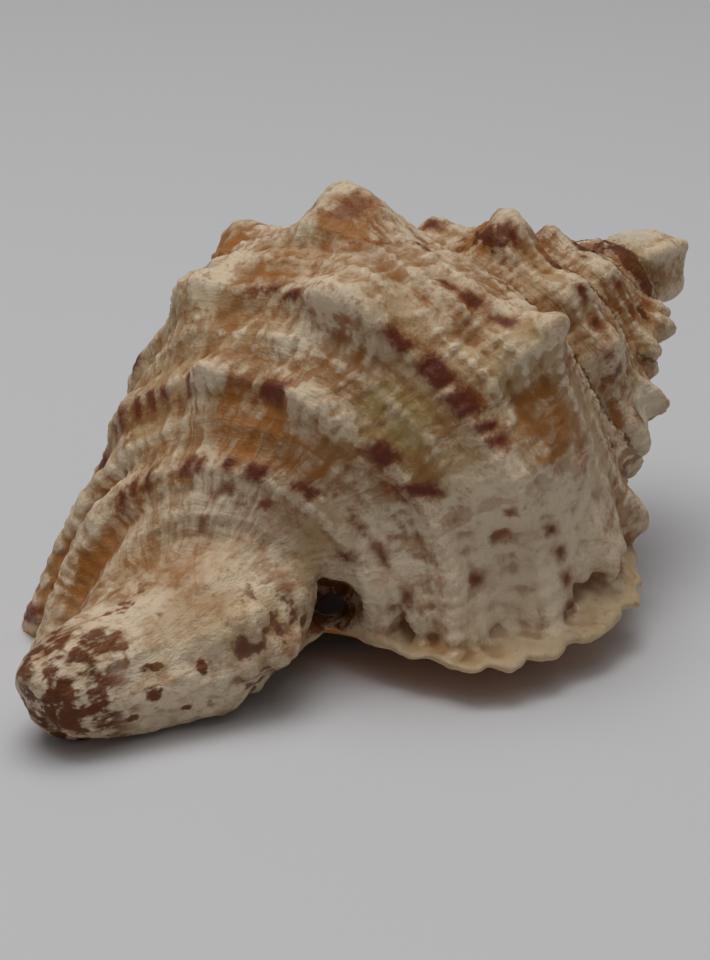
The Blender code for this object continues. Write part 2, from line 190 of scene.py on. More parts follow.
# Soft patches: centre, reach each way and strength
PATCHES = {
    "ochre": (
        ((-32, -6, 47), (7, 10, 8), 1.0), ((-28, -17, 43), (5, 6, 5), 0.8), ((6, -41, 47), (7, 8, 9), 0.9),
        ((14, -42, 38), (4, 8, 7), 0.6), ((-46, -6, 25), (9, 10, 6), 0.5), ((-15, 3, 71), (9, 12, 6), 0.55),
        ((-6, -22, 68), (6, 5, 5), 0.5), ((-3, -2, 75), (8, 8, 9), 0.95), ((-6, 30, 63), (8, 8, 7), 0.9),
        ((26, -5, 69), (7, 6, 7), 0.9), ((36, -14, 66), (9, 6, 5), 0.6), ((-14, -29, 28), (4, 4, 4), 0.5),
    ),
    # The stain between the lip's folds is partly real and partly painted shade in their valleys
    "folds": (((-42, 30, 14), (12, 13, 16), 1.0), ((-48, 18, 16), (11, 12, 14), 1.0)),
    "olive": (((-16, -27, 50), (7, 8, 8), 1.0), ((-9, -34, 40), (5, 5, 6), 0.6)),
    "brown_and_pit_shade": (
        ((24, -10, 70), (5, 4, 4), 0.8), ((24, -6, 70), (4, 4, 4), 0.9), ((24, -4, 69), (5, 5, 6), 0.8),
        ((63, -9, 57), (3.5, 10, 9), 1.0), ((44, -10, 64), (9, 4, 3), 0.8), ((59, 4, 55), (4, 9, 9), 0.7),
        ((54, -7, 61), (8, 5, 3), 0.8), ((34, -16, 63), (4, 3, 3), 0.6), ((56, -17, 50), (2, 4, 6), 0.6),
        # Painted shade: dark brown inside the pit
        ((-23.5, -14.5, 14.5), (8, 8, 8), 0.9),
        ((-72.5, -11, 12), (2.8, 8, 10), 0.9), ((-78, -9, 13), (2.8, 7, 8), 0.9), ((-68, -9, 19), (5, 5, 3), 0.6),
        ((-62.9, -16.5, 10.1), (2.1, 2.5, 1.7), 1.0), ((-62.5, -14.5, 14.2), (3.6, 2.5, 0.9), 0.8),
        ((-57, -18.5, 6), (1.4, 2.5, 1.2), 0.8), ((-66.5, -15.5, 6.5), (1.5, 2.5, 1.2), 0.8),
        ((-54.2, -19.6, 12.7), (1.1, 2.5, 2.4), 0.8), ((-66, -12, 17.6), (2.6, 3, 1.3), 0.8),
        ((-74, 4, 15), (2.0, 8, 6), 0.7), ((-67, 8, 10), (2.4, 4, 2.6), 0.8), ((-58, 12, 12), (2, 3, 2), 0.8),
    ),
    "worn": (
        ((47, -28, 36), (6, 5, 7), 0.7), ((43, -32, 32), (5, 5, 6), 0.6),
        ((71.5, -1, 53), (8, 9, 9), 1.0), ((-4, -1, 82), (4, 5, 3), 0.45), ((28, -8, 73), (4, 4, 3), 0.5),
        ((-4, 31, 69), (5, 4, 3), 0.4), ((8, -42, 60), (3, 3, 3), 0.5), ((-16, -19, 68), (4, 6, 3), 0.5),
        ((-33, 2, 54), (4, 5, 3), 0.5), ((-25, 13, 64), (4, 4, 3), 0.4),
    ),
    "fasciole": (((-40, -21, 13), (11, 10, 14), 1.0), ((-34, 6, 10), (12, 8, 14), 0.8)),
    # Painted shade on the top of the canal's root, which faces the light
    "root_painted_shade": (((-51, -14, 20), (10, 8, 6), 1.0), ((-44, -8, 26), (8, 8, 6), 0.6)),
    "rugged": (((42, -12, 58), (24, 18, 20), 1.0), ((50, 10, 55), (20, 20, 16), 0.8)),
    "belly": (
        ((2, -42, 24), (22, 16, 22), 1.0), ((-20, -28, 24), (11, 11, 13), 0.75),
        ((-38, -8, 30), (10, 16, 10), 0.7), ((-60, -14, 10), (16, 16, 14), 0.6),
    ),
}

CREAM = (0.43, 0.285, 0.145, 1)
WHITE = (0.67, 0.54, 0.38, 1)
# The shield's cream is partly its own colour and partly painted shade
SHIELD_CREAM_AND_SHADE = (0.40, 0.275, 0.145, 1)
TAN = (0.28, 0.15, 0.06, 1)
OCHRE = (0.28, 0.11, 0.024, 1)
OCHRE_DEEP = (0.31, 0.11, 0.015, 1)
STAIN = (0.22, 0.078, 0.018, 1)
RUST = (0.20, 0.055, 0.01, 1)
BROWN = (0.115, 0.029, 0.005, 1)
SPOT = (0.095, 0.014, 0.003, 1)
SPOT_PURPLE = (0.13, 0.03, 0.012, 1)
PURPLE_BROWN = (0.13, 0.045, 0.026, 1)
OLIVE = (0.34, 0.24, 0.07, 1)
WORN_GREY = (0.50, 0.45, 0.35, 1)
GLAZE_PALE = (0.85, 0.36, 0.11, 1)
CREAM_GLAZE = (0.62, 0.42, 0.24, 1)
GLAZE_DEEP = (0.62, 0.14, 0.025, 1)

# Sizes of the noise that breaks up the colours, in metres
BROAD, MIDDLING, SMALL, FINE = 0.022, 0.008, 0.0026, 0.0009

# How finely the whorls are first drawn, the skins' voxels in millimetres, and the most triangles that are kept
RINGS = 900
ROWS = 150
CORE_COLUMNS = 10
FUSED_VOXEL = 0.95
FINE_VOXEL = 0.68
MOST_FACES = 190000
# The crease between the whorl and the canal is softened within this reach, by this many rounds
HEAL_REACH = 8
HEAL_ROUNDS = 110

# The camera: angles, distance and lens were solved from the photograph's outline. It aims at a point in millimetres
CAMERA_AZIMUTH = -43.24
CAMERA_HEIGHT = 22.28
CAMERA_DISTANCE = 0.5035
CAMERA_LENS = 103.7
CAMERA_AIM = (-5.85, 0, 28.39)
# Lights: place, aim, size and power
LIGHTS = {
    "window": ((-0.06, 0.2, 1.25), (0, 0, 0.03), 0.9, 8.2),
    "ceiling": ((-0.3, -0.3, 1.8), (0, 0, 0), 1.6, 8.6),
}
ROOM_LIGHT = (0.90, 0.89, 0.90, 1)
ROOM_STRENGTH = 0.2
TABLE_GREY = (0.565, 0.565, 0.575, 1)
TABLE_HALF = 3.0


def bell(distance, reach):
    return np.exp(-((distance / reach) ** 2))


def ease(value):
    """0 below 0, 1 above 1, and a smooth climb between."""
    value = np.clip(value, 0, 1)
    return value * value * (3 - 2 * value)


def smooth_curve(points, shares):
    """A Catmull-Rom curve through the points, read at shares of its way from 0 to 1."""
    points = np.array(points, float)
    ends = np.vstack([2 * points[0] - points[1], points, 2 * points[-1] - points[-2]])
    u = np.clip(shares, 0, 1) * (len(points) - 1)
    i = np.minimum(u.astype(int), len(points) - 2)
    f = (u - i)[..., None]
    a, b, c, d = ends[i], ends[i + 1], ends[i + 2], ends[i + 3]
    return 0.5 * (2 * b + (c - a) * f + (2 * a - 5 * b + 4 * c - d) * f**2 + (3 * b - a - 3 * c + d) * f**3)


def place(radius, degrees, depth):
    """Points at this distance from the axis and angle round it, this far down it from the apex."""
    tilt = math.radians(AXIS_TILT)
    along = np.array([math.cos(tilt), 0.0, math.sin(tilt)])
    right = np.array([0.0, -1.0, 0.0])
    up = np.array([-math.sin(tilt), 0.0, math.cos(tilt)])
    angle = np.radians(degrees)[..., None]
    away = np.cos(angle) * right + np.sin(angle) * up
    return np.array(APEX) - depth[..., None] * along + radius[..., None] * away


def turn_of(degrees, back):
    return (degrees - LIP_ANGLE) / 360 - back


def outline_normal(share):
    """The outline's outward direction, as shares of away from the axis and towards the canal."""
    step = 0.004
    way = smooth_curve(OUTLINE, np.clip(share + step, 0, 1)) - smooth_curve(OUTLINE, np.clip(share - step, 0, 1))
    way /= np.linalg.norm(way, axis=-1, keepdims=True)
    return np.stack([way[..., 1], -way[..., 0]], axis=-1)


def hem(turn, share, size, radius):
    """How far the whorl swells above its hem, and how far the toothed hem stands out over the shield."""
    teeth = np.zeros_like(turn)
    for where, length in HEM_TEETH:
        gap = np.abs(share - where) * OUTLINE_LENGTH * size
        teeth = np.maximum(teeth, length * np.clip(1 - gap / HEM_TOOTH_WIDTH, 0, 1))
    # The hem's line rises beside the pit and dips a little in the middle
    line = HEM_TURN + 0.045 * ease((share - 0.77) / 0.1) - 0.010 * bell(share - 0.61, 0.06)
    above = (turn - line + HEM_TOOTH_TURNS * teeth) * math.tau * radius
    past_edge = ease((above + HEM_EDGE / 2) / HEM_EDGE)
    degrees, where, height, reach_along, reach_across = HEM_SWELL
    swell = height * bell((turn - turn_of(degrees, 0)) * math.tau * radius, reach_along)
    swell *= bell((share - where) * OUTLINE_LENGTH * size, reach_across)
    ledge = past_edge * (1 - ease(above / HEM_FADE)) * (HEM_DEPTH + HEM_SPREAD * teeth)
    return (
        swell * (0.35 + 0.65 * np.maximum(past_edge, ease((share - 0.79) / 0.05))),
        ledge * ease((share - 0.3) / 0.1) * ease((0.86 - share) / 0.05),
    )


def lip_folds(turn, share):
    """Uneven folds that cross the flaring lip and deepen towards the canal."""
    near_lip = ease((turn - FOLD_START) / FOLD_RISE)
    phase = CORDS * FOLDS_PER_CORD * (share - CORD_START)
    phase = phase + 0.3 * np.sin(22 * turn) + 0.07 * np.sin(57 * turn + 9 * share)
    folds = np.abs(np.sin(math.pi * phase)) ** 0.8 - 0.28
    plain, by_canal = FOLD_HEIGHTS
    return near_lip * folds * (plain + by_canal * ease((share - 0.72) / 0.1)) * ease((share - 0.35) / 0.15)


def relief(turn, share):
    """How far the shell's surface stands out from the plain whorl."""
    size = WHORL_RATIO**turn
    radius = size * smooth_curve(OUTLINE, share)[..., 0]
    out = np.zeros_like(turn)
    for degrees, back, where, height, reach_along, reach_across in KNOBS:
        along = (turn - turn_of(degrees, back)) * math.tau * radius
        across = (share - where) * OUTLINE_LENGTH * size
        out += height * bell(along, reach_along) * bell(across, reach_across)
    for degrees, back, height, reach in RIDGES:
        along = (turn - turn_of(degrees, back)) * math.tau * radius
        teeth = 0.72 + 0.28 * np.cos(math.tau * RIDGE_TEETH * share)
        out += height * bell(along, reach) * teeth * ease((share - 0.02) / 0.15) * ease((0.95 - share) / 0.2)
    cords = 0.5 + 0.5 * np.cos(math.tau * CORDS * (share - CORD_START))
    out += CORD_HEIGHT * size * cords * ease((share - 0.3) / 0.1)
    for where in KEELS:
        out += KEEL_HEIGHT * size * bell((share - where) * OUTLINE_LENGTH * size, 2.6 * size + 0.6)
    for raised in hem(turn, share, size, radius):
        out += raised
    return out + lip_folds(turn, share)


class Wire:
    """A socket in a node tree, which sums and products can be written with."""

    def __init__(self, tree, socket):
        self.tree = tree
        self.socket = socket

    def __add__(self, other):
        return self.tree.math("ADD", self, other)

    def __radd__(self, other):
        return self.tree.math("ADD", other, self)

    def __sub__(self, other):
        return self.tree.math("SUBTRACT", self, other)

    def __rsub__(self, other):
        return self.tree.math("SUBTRACT", other, self)

    def __mul__(self, other):
        return self.tree.math("MULTIPLY", self, other)

    def __rmul__(self, other):
        return self.tree.math("MULTIPLY", other, self)

    def __truediv__(self, other):
        return self.tree.math("DIVIDE", self, other)

    def __pow__(self, other):
        return self.tree.math("POWER", self, other)


class Tree:
    """A node tree whose nodes are made, set and wired in one call each."""

    def __init__(self, tree):
        self.tree = tree

    def node(self, kind, *values, **settings):
        node = self.tree.nodes.new(kind)
        for name, value in settings.items():
            setattr(node, name, value)
        sockets = [socket for socket in node.inputs if not socket.is_unavailable]
        for socket, value in zip(sockets, values):
            self.feed(socket, value)
        return node

    def feed(self, socket, value):
        if isinstance(value, Wire):
            value = value.socket
        if isinstance(value, bpy.types.NodeSocket):
            self.tree.links.new(value, socket)
        elif value is not None:
            socket.default_value = value

    def wire(self, node, output=None):
        """A node's output by name, or its first live one."""
        if output is None:
            return Wire(self, next(socket for socket in node.outputs if not socket.is_unavailable))
        return Wire(self, next(s for s in node.outputs if s.name == output and not s.is_unavailable))

    def math(self, kind, *values):
        return self.wire(self.node("ShaderNodeMath", *values, operation=kind))

    def vector(self, kind, *values):
        return self.wire(self.node("ShaderNodeVectorMath", *values, operation=kind))

    def cosine_wave(self, phase):
        """A wave of phase, from 0 to 1, at 1 where the phase is whole."""
        return 0.5 + 0.5 * self.math("COSINE", phase * math.tau)

    def climb(self, value, low, high):
        """0 below low, 1 above high, and a smooth climb between."""
        node = self.node("ShaderNodeMapRange", value, low, high, interpolation_type="SMOOTHSTEP")
        return self.wire(node)

    def noise(self, where, size, detail=2.0, rough=0.5, stretch=None):
        """Even noise about 0.5, with patches of this size in metres."""
        if stretch is not None:
            where = self.vector("MULTIPLY", where, stretch)
        return self.wire(self.node("ShaderNodeTexNoise", where, 1 / size, detail, rough), "Fac")

    def blend(self, factor, plain, over):
        """A colour laid over another by this much."""
        return self.wire(self.node("ShaderNodeMix", factor, plain, over, data_type="RGBA"), "Result")

    def either(self, one, other):
        return self.math("MAXIMUM", one, other)

    def named(self, label, kind="FLOAT"):
        """A field that is kept at the points of the geometry."""
        return self.wire(self.node("GeometryNodeInputNamedAttribute", label, data_type=kind))

    def stored(self, shape, label, value, kind="FLOAT"):
        """The shape with a field kept at its points."""
        kept = self.node("GeometryNodeStoreNamedAttribute", shape, None, label, value, data_type=kind)
        return kept.outputs["Geometry"]

    def close(self, end, shape):
        """Ends a geometry tree with real faces in the shell's own material."""
        real = self.node("GeometryNodeRealizeInstances", shape).outputs["Geometry"]
        painted = self.node("GeometryNodeSetMaterial", real, None, bpy.data.materials["shell_cream"])
        self.feed(end.inputs["Geometry"], painted.outputs["Geometry"])


def geometry_tree(name, sockets):
    """An empty geometry tree with these named inputs, its Tree, its input wires and its output node."""
    group = bpy.data.node_groups.new(name, "GeometryNodeTree")
    group.interface.new_socket("Geometry", in_out="INPUT", socket_type="NodeSocketGeometry")
    group.interface.new_socket("Geometry", in_out="OUTPUT", socket_type="NodeSocketGeometry")
    for label, kind in sockets:
        group.interface.new_socket(label, in_out="INPUT", socket_type=kind)
    tree = Tree(group)
    start = group.nodes.new("NodeGroupInput")
    end = group.nodes.new("NodeGroupOutput")
    wires = {socket.name: Wire(tree, socket) for socket in start.outputs if socket.name}
    return group, tree, wires, end


def run_tree(item, group, values):
    """Runs a geometry tree on an item, with values for its named inputs, and keeps the result as a plain mesh."""
    step = item.modifiers.new(group.name, "NODES")
    step.node_group = group
    for socket in group.interface.items_tree:
        if socket.in_out == "INPUT" and socket.name in values:
            step[socket.identifier] = values[socket.name]
    return settled(item)


def settled(item):
    """The item with its modifiers worked into a plain mesh."""
    bpy.context.view_layer.update()
    graph = bpy.context.evaluated_depsgraph_get()
    worked = item.evaluated_get(graph)
    mesh = bpy.data.meshes.new_from_object(worked, preserve_all_data_layers=True, depsgraph=graph)
    item.modifiers.clear()
    plain = item.data
    item.data = mesh
    bpy.data.meshes.remove(plain)
    return item


def new_item(name, data):
    item = bpy.data.objects.new(name, data)
    bpy.context.scene.collection.objects.link(item)
    return item


def points_of(mesh):
    co = np.empty(len(mesh.vertices) * 3)
    mesh.vertices.foreach_get("co", co)
    return co.reshape(-1, 3)


def set_field(mesh, name, values):
    """A number at each point of a mesh."""
    field = mesh.attributes.get(name) or mesh.attributes.new(name, "FLOAT", "POINT")
    field.data.foreach_set("value", np.ascontiguousarray(values, dtype=np.float32))


def field_of(mesh, name):
    values = np.empty(len(mesh.vertices), dtype=np.float32)
    mesh.attributes[name].data.foreach_get("value", values)
    return values.astype(float)


def edges_of(mesh):
    pairs = np.empty(len(mesh.edges) * 2, dtype=np.int32)
    mesh.edges.foreach_get("vertices", pairs)
    return pairs.reshape(-1, 2)


def smoothed(values, edges, rounds):
    """Values at a mesh's points, each averaged with its neighbours this many times."""
    count = np.bincount(edges.reshape(-1), minlength=len(values))[:, None]
    values = values.reshape(len(count), -1)
    for _ in range(rounds):
        total = np.stack([
            np.bincount(edges[:, 0], column[edges[:, 1]], len(values))
            + np.bincount(edges[:, 1], column[edges[:, 0]], len(values))
            for column in values.T
        ], axis=1)
        values = 0.5 * values + 0.5 * total / np.maximum(count, 1)
    return values


def tube(name, rings, fields=None):
    """A closed mesh over rings of points in millimetres, with a flat cap at each end, and fields per point."""
    count, around = rings.shape[:2]
    first = np.arange(count - 1)[:, None] * around
    j = np.arange(around)[None, :]
    k = (j + 1) % around
    quads = np.stack([first + j, first + k, first + around + k, first + around + j], axis=-1).reshape(-1, 4)
    middles = rings[[0, -1]].mean(axis=1)
    points = np.concatenate([rings.reshape(-1, 3), middles]) + np.array(CENTRING)
    last = (count - 1) * around
    faces = quads.tolist()
    for j in range(around):
        k = (j + 1) % around
        faces.append([k, j, count * around])
        faces.append([last + j, last + k, count * around + 1])
    mesh = bpy.data.meshes.new(name)
    mesh.from_pydata((points * MM).tolist(), [], faces)
    turned = bmesh.new()
    turned.from_mesh(mesh)
    bmesh.ops.recalc_face_normals(turned, faces=turned.faces)
    turned.to_mesh(mesh)
    turned.free()
    for label, values in (fields or {}).items():
        values = values.reshape(-1)
        set_field(mesh, label, np.concatenate([values, [values[0], values[-1]]]))
    return new_item(name, mesh)


def whorl_tree():
    """Grows the whorls: the outline is repeated round the axis, larger by the same ratio at each turn."""
    group, tree, given, end = geometry_tree("grow_whorls", (
        ("Rings", "NodeSocketInt"), ("Rows", "NodeSocketInt"), ("Whorls", "NodeSocketFloat"),
        ("Ratio", "NodeSocketFloat"), ("Lip angle", "NodeSocketFloat"), ("Axis tilt", "NodeSocketFloat"),
        ("Apex", "NodeSocketVector"), ("Flare turns", "NodeSocketFloat"),
    ))
    grid = tree.node("GeometryNodeMeshGrid", 1.0, 1.0, given["Rings"], given["Rows"])
    across = tree.node("ShaderNodeSeparateXYZ", tree.node("GeometryNodeInputPosition").outputs[0])
    turn = (tree.wire(across, "X") - 0.5) * given["Whorls"]
    share = tree.wire(across, "Y") + 0.5
    row = tree.math("ROUND", share * (given["Rows"] - 1))
    size = given["Ratio"] ** turn

    def read(label):
        kind = "FLOAT_VECTOR"
        sample = tree.node("GeometryNodeSampleIndex", given["Geometry"], tree.named(label, kind), row, data_type=kind)
        return tree.wire(sample)

    angle = (given["Lip angle"] + turn * 360) * (math.pi / 180)

    def swung(vector, scale):
        """A vector of the outline, swung round the axis and tilted: X away from the axis, Z towards the canal."""
        parts = tree.node("ShaderNodeSeparateXYZ", vector)
        away = tree.wire(parts, "X") * scale
        forward = tree.wire(parts, "Z") * scale
        flat = tree.node(
            "ShaderNodeCombineXYZ", forward * -1, away * -1 * tree.math("COSINE", angle),
            away * tree.math("SINE", angle),
        )
        tilted = tree.node("ShaderNodeVectorRotate", flat.outputs[0], None, None, rotation_type="Y_AXIS")
        tree.feed(tilted.inputs["Angle"], given["Axis tilt"] * (-math.pi / 180))
        return tree.wire(tilted)

    flare = tree.math("MAXIMUM", (turn + given["Flare turns"]) / given["Flare turns"], 0.0) ** LIP_FLARE_POWER
    point = tree.vector("ADD", given["Apex"], swung(read("section"), size))
    point = tree.vector("ADD", point, tree.vector("MULTIPLY", read("to_lip"), flare))
    # The fields are kept before the points move, because they are read from the plain grid
    shape = tree.stored(grid.outputs["Mesh"], "turn", turn)
    shape = tree.stored(shape, "share", share)
    shape = tree.stored(shape, "outward", swung(read("facing"), 1.0), "FLOAT_VECTOR")
    grown = tree.node("GeometryNodeSetPosition", shape, None, point)
    tree.close(end, grown.outputs["Geometry"])
    return group


def whorls():
    """The whorls with their knobs and ridges, filled in to the axis, as one closed form."""
    shares = np.linspace(0, 1, ROWS)
    line = bpy.data.meshes.new("outline")
    outline = smooth_curve(OUTLINE, shares)
    normal = outline_normal(shares)
    plain_edge = place(outline[:, 0], np.full(ROWS, LIP_ANGLE), outline[:, 1])
    rows = {
        "section": np.stack([outline[:, 0], 0 * shares, outline[:, 1]], axis=-1),
        "facing": np.stack([normal[:, 0], 0 * shares, normal[:, 1]], axis=-1),
        "to_lip": smooth_curve(LIP_EDGE, shares) - plain_edge,
    }
    line.from_pydata(rows["section"].tolist(), [], [])
    for label, vectors in rows.items():
        field = line.attributes.new(label, "FLOAT_VECTOR", "POINT")
        field.data.foreach_set("vector", vectors.astype(np.float32).reshape(-1))
    grown = run_tree(new_item("outline", line), whorl_tree(), {
        "Rings": RINGS, "Rows": ROWS, "Whorls": WHORLS, "Ratio": WHORL_RATIO, "Lip angle": LIP_ANGLE,
        "Axis tilt": AXIS_TILT, "Apex": APEX, "Flare turns": LIP_FLARE_TURNS,
    })
    turn = field_of(grown.data, "turn").reshape(RINGS, ROWS)
    share = field_of(grown.data, "share").reshape(RINGS, ROWS)
    outward = np.empty(RINGS * ROWS * 3, dtype=np.float32)
    grown.data.attributes["outward"].data.foreach_get("vector", outward)
    skin = points_of(grown.data).reshape(RINGS, ROWS, 3)
    skin = skin + relief(turn, share)[..., None] * outward.reshape(RINGS, ROWS, 3)
    core = np.linspace(147, 61, CORE_COLUMNS)[None, :] * WHORL_RATIO ** turn[:, :1]
    middle = place(np.full_like(core, 0.6), LIP_ANGLE + 360 * turn[:, :1] + 0 * core, core)
    bpy.data.objects.remove(grown)
    return tube("whorls", np.concatenate([skin, middle], axis=1), {
        "turn": np.concatenate([turn, np.repeat(turn[:, :1], CORE_COLUMNS, axis=1)], axis=1),
        "share": np.concatenate([share, np.repeat(share[:, -1:], CORE_COLUMNS, axis=1)], axis=1),
    })


def canal():
    """The stout canal, as rounded sections from its root inside the shell to its tip."""
    shares = np.linspace(0, 1, 160)
    sections = smooth_curve(CANAL, shares)
    around = np.linspace(0, math.tau, 120, endpoint=False)
    x = np.repeat(sections[:, 0:1], len(around), axis=1)
    ribs = np.cos(9 * around[None, :] + 5 * shares[:, None])
    ribs = ribs + 0.6 * np.cos(4 * around[None, :] - 17 * shares[:, None])
    bumps = 1 + 0.028 * ribs * np.sin(math.pi * shares)[:, None]
    # A swollen band crosses its right side
    band = shares[:, None] - 0.47 - 0.16 * np.sin(around[None, :] + 0.5)
    bumps = bumps + 0.10 * bell(band, 0.07) * ease(-1.3 * np.cos(around[None, :] - 0.15))
    y = sections[:, 1:2] + sections[:, 3:4] * np.cos(around) * bumps
    z = sections[:, 2:3] + sections[:, 4:5] * np.sin(around) * bumps
    return tube("canal", np.stack([x, y, z], axis=-1), {"down_canal": shares[:, None] + 0 * x})


def shield():
    """The thin shield whose waved edge stands free on the right."""
    shares = np.linspace(0, 1, 420)
    edge = smooth_curve(SHIELD_EDGE, shares)
    root = smooth_curve(SHIELD_ROOT, shares)
    away = edge - root
    away /= np.linalg.norm(away, axis=1, keepdims=True)
    wave = np.abs(np.cos(math.pi * SHIELD_WAVES * shares + 0.7 * np.sin(31 * shares))) * 2 - 1.3
    wave = (wave + 0.15 * np.cos(math.tau * 61 * shares)) * ease((shares - 0.3) / 0.1)
    steps = np.linspace(0, 1, 40)
    rings = []
    for i in range(len(shares)):
        line = root[i] + steps[:, None] * (edge[i] + SHIELD_WAVE * wave[i] * away[i] - root[i])
        # Along its middle, more of the shield stands free of the whorl
        free = 1 - ease((0.5 - shares[i]) / 0.06) - ease((shares[i] - 0.66) / 0.08)
        swell = np.interp(shares[i], *zip(*SHIELD_SWELL)) * ease((1 - 0.2 * free - steps) / (0.3 - 0.14 * free))
        half = SHIELD_THICK / 2 * (1.5 - 0.9 * steps)
        ripple = -0.7 * wave[i] * steps**2
        top, bottom = line.copy(), line.copy()
        top[:, 2] += ripple + half + swell
        bottom[:, 2] += ripple - half
        rings.append(np.concatenate([top, bottom[::-1]]))
    out = np.concatenate([steps, steps[::-1]])
    return tube("shield", np.array(rings), {"to_edge": out[None, :] + 0 * shares[:, None]})


def squared(value, roundness):
    return np.sign(value) * np.abs(value) ** roundness


def lump(name, centre, radii, unevenness, roundness=1.0):
    """A rounded lump with a few shallow hollows, or a blocky one where the roundness is small."""
    rows = np.linspace(0.06, math.pi - 0.06, 40)[:, None]
    around = np.linspace(0, math.tau, 64, endpoint=False)[None, :]
    uneven = np.sin(3 * around + 1) * np.sin(2 * rows) + np.cos(5 * around) * np.sin(rows) ** 2
    uneven = 1 + unevenness * uneven
    x = centre[0] + radii[0] * squared(np.cos(rows), roundness) * uneven
    wide = squared(np.sin(rows), roundness) * uneven
    y = centre[1] + radii[1] * wide * squared(np.cos(around), roundness)
    z = centre[2] + radii[2] * wide * squared(np.sin(around), roundness)
    return tube(name, np.stack([x, y, z], axis=-1))


def mouth():
    """The space inside the last whorl, running out through the mouth."""
    turns = np.linspace(-MOUTH_TURNS, 0, 110)
    shares = np.linspace(0.17, 0.93, 70)
    outline = smooth_curve(OUTLINE, shares)
    normal = outline_normal(shares)
    to_lip = smooth_curve(LIP_EDGE, shares) - place(outline[:, 0], np.full(len(shares), LIP_ANGLE), outline[:, 1])
    inner = smooth_curve(MOUTH_SIDE, np.linspace(0, 1, 30))
    rings = []
    for turn in turns:
        size = WHORL_RATIO**turn
        closing = 1 - 0.8 * ease((-0.35 - turn) / 0.27)
        inset = size * outline - LIP_WALL * normal
        flare = np.clip((turn + LIP_FLARE_TURNS) / LIP_FLARE_TURNS, 0, 1) ** LIP_FLARE_POWER
        outer = place(inset[:, 0], np.full(len(inset), LIP_ANGLE + 360 * turn), inset[:, 1]) + flare * to_lip
        side = inner * size
        side = place(side[:, 0], np.full(len(side), LIP_ANGLE + 360 * turn), side[:, 1])
        ring = np.concatenate([outer, side])
        middle = ring.mean(axis=0)
        rings.append(middle + closing * (ring - middle))
    # The last two rings drop through the table, so that the mouth is cut open there
    for drop in (6, 30):
        rings.append(rings[len(turns) - 1] - np.array([0, 0, drop]))
    depth = np.concatenate([-turns, [-0.01, -0.02]])
    return tube("mouth", np.array(rings), {"mouth_depth": depth[:, None] + np.zeros((1, len(ring)))})


def siphon_slot():
    """The open slot that runs along the canal's underside from the mouth to the tip."""
    middle = smooth_curve(SIPHON, np.linspace(0, 1, 90))
    around = np.linspace(0, math.tau, 40, endpoint=False)
    y = middle[:, 1:2] + middle[:, 3:4] * np.cos(around)
    z = middle[:, 2:3] + middle[:, 3:4] * 1.5 * np.sin(around)
    return tube("siphon_slot", np.stack([middle[:, 0:1] + 0 * y, y, z], axis=-1))


def table_block():
    """All that lies below the table."""
    ring = [(-120, -90), (120, -90), (120, 90), (-120, 90)]
    return tube("table_block", np.array([[(x, y, z) for x, y in ring] for z in (-40, 0)], float))


def fused(name, items, voxel, smoothing):
    """The items as one closed skin."""
    copies = [new_item(name, item.data.copy()) for item in items]
    bpy.ops.object.select_all(action="DESELECT")
    for copy in copies:
        copy.select_set(True)
    bpy.context.view_layer.objects.active = copies[0]
    if len(copies) > 1:
        bpy.ops.object.join()
    skin = copies[0].modifiers.new("one_skin", "REMESH")
    skin.mode = "VOXEL"
    skin.voxel_size = voxel * MM
    soften = copies[0].modifiers.new("soften", "SMOOTH")
    soften.factor = 0.5
    soften.iterations = smoothing
    return settled(copies[0])


def cut(item, cutters):
    """The item with the cutters' space taken away."""
    for cutter in cutters:
        step = item.modifiers.new("cut", "BOOLEAN")
        step.operation = "DIFFERENCE"
        step.solver = "EXACT"
        step.object = cutter
    return settled(item)


def reading_tree():
    """Reads, at each point of the fused skin, where it lies on the whorls, the canal, the shield and the mouth."""
    parts = (
        ("Whorls", ("turn", "share"), "off_whorls"),
        ("Canal", ("down_canal",), "off_canal"),
        ("Shield", ("to_edge",), "off_shield"),
        ("Mouth", ("mouth_depth",), "off_mouth"),
        ("Pit", (), "off_pit"),
    )
    group, tree, given, end = geometry_tree("read_growth", [(label, "NodeSocketObject") for label, _, _ in parts])
    shape = given["Geometry"]
    for label, fields, distance in parts:
        source = tree.node("GeometryNodeObjectInfo", given[label]).outputs["Geometry"]
        for field in fields:
            read = tree.node("GeometryNodeSampleNearestSurface", source, tree.named(field), data_type="FLOAT")
            shape = tree.stored(shape, field, tree.wire(read))
        near = tree.node("GeometryNodeProximity", source, target_element="FACES")
        shape = tree.stored(shape, distance, tree.wire(near, "Distance") * 1000.0)
    tree.close(end, shape)
    return group


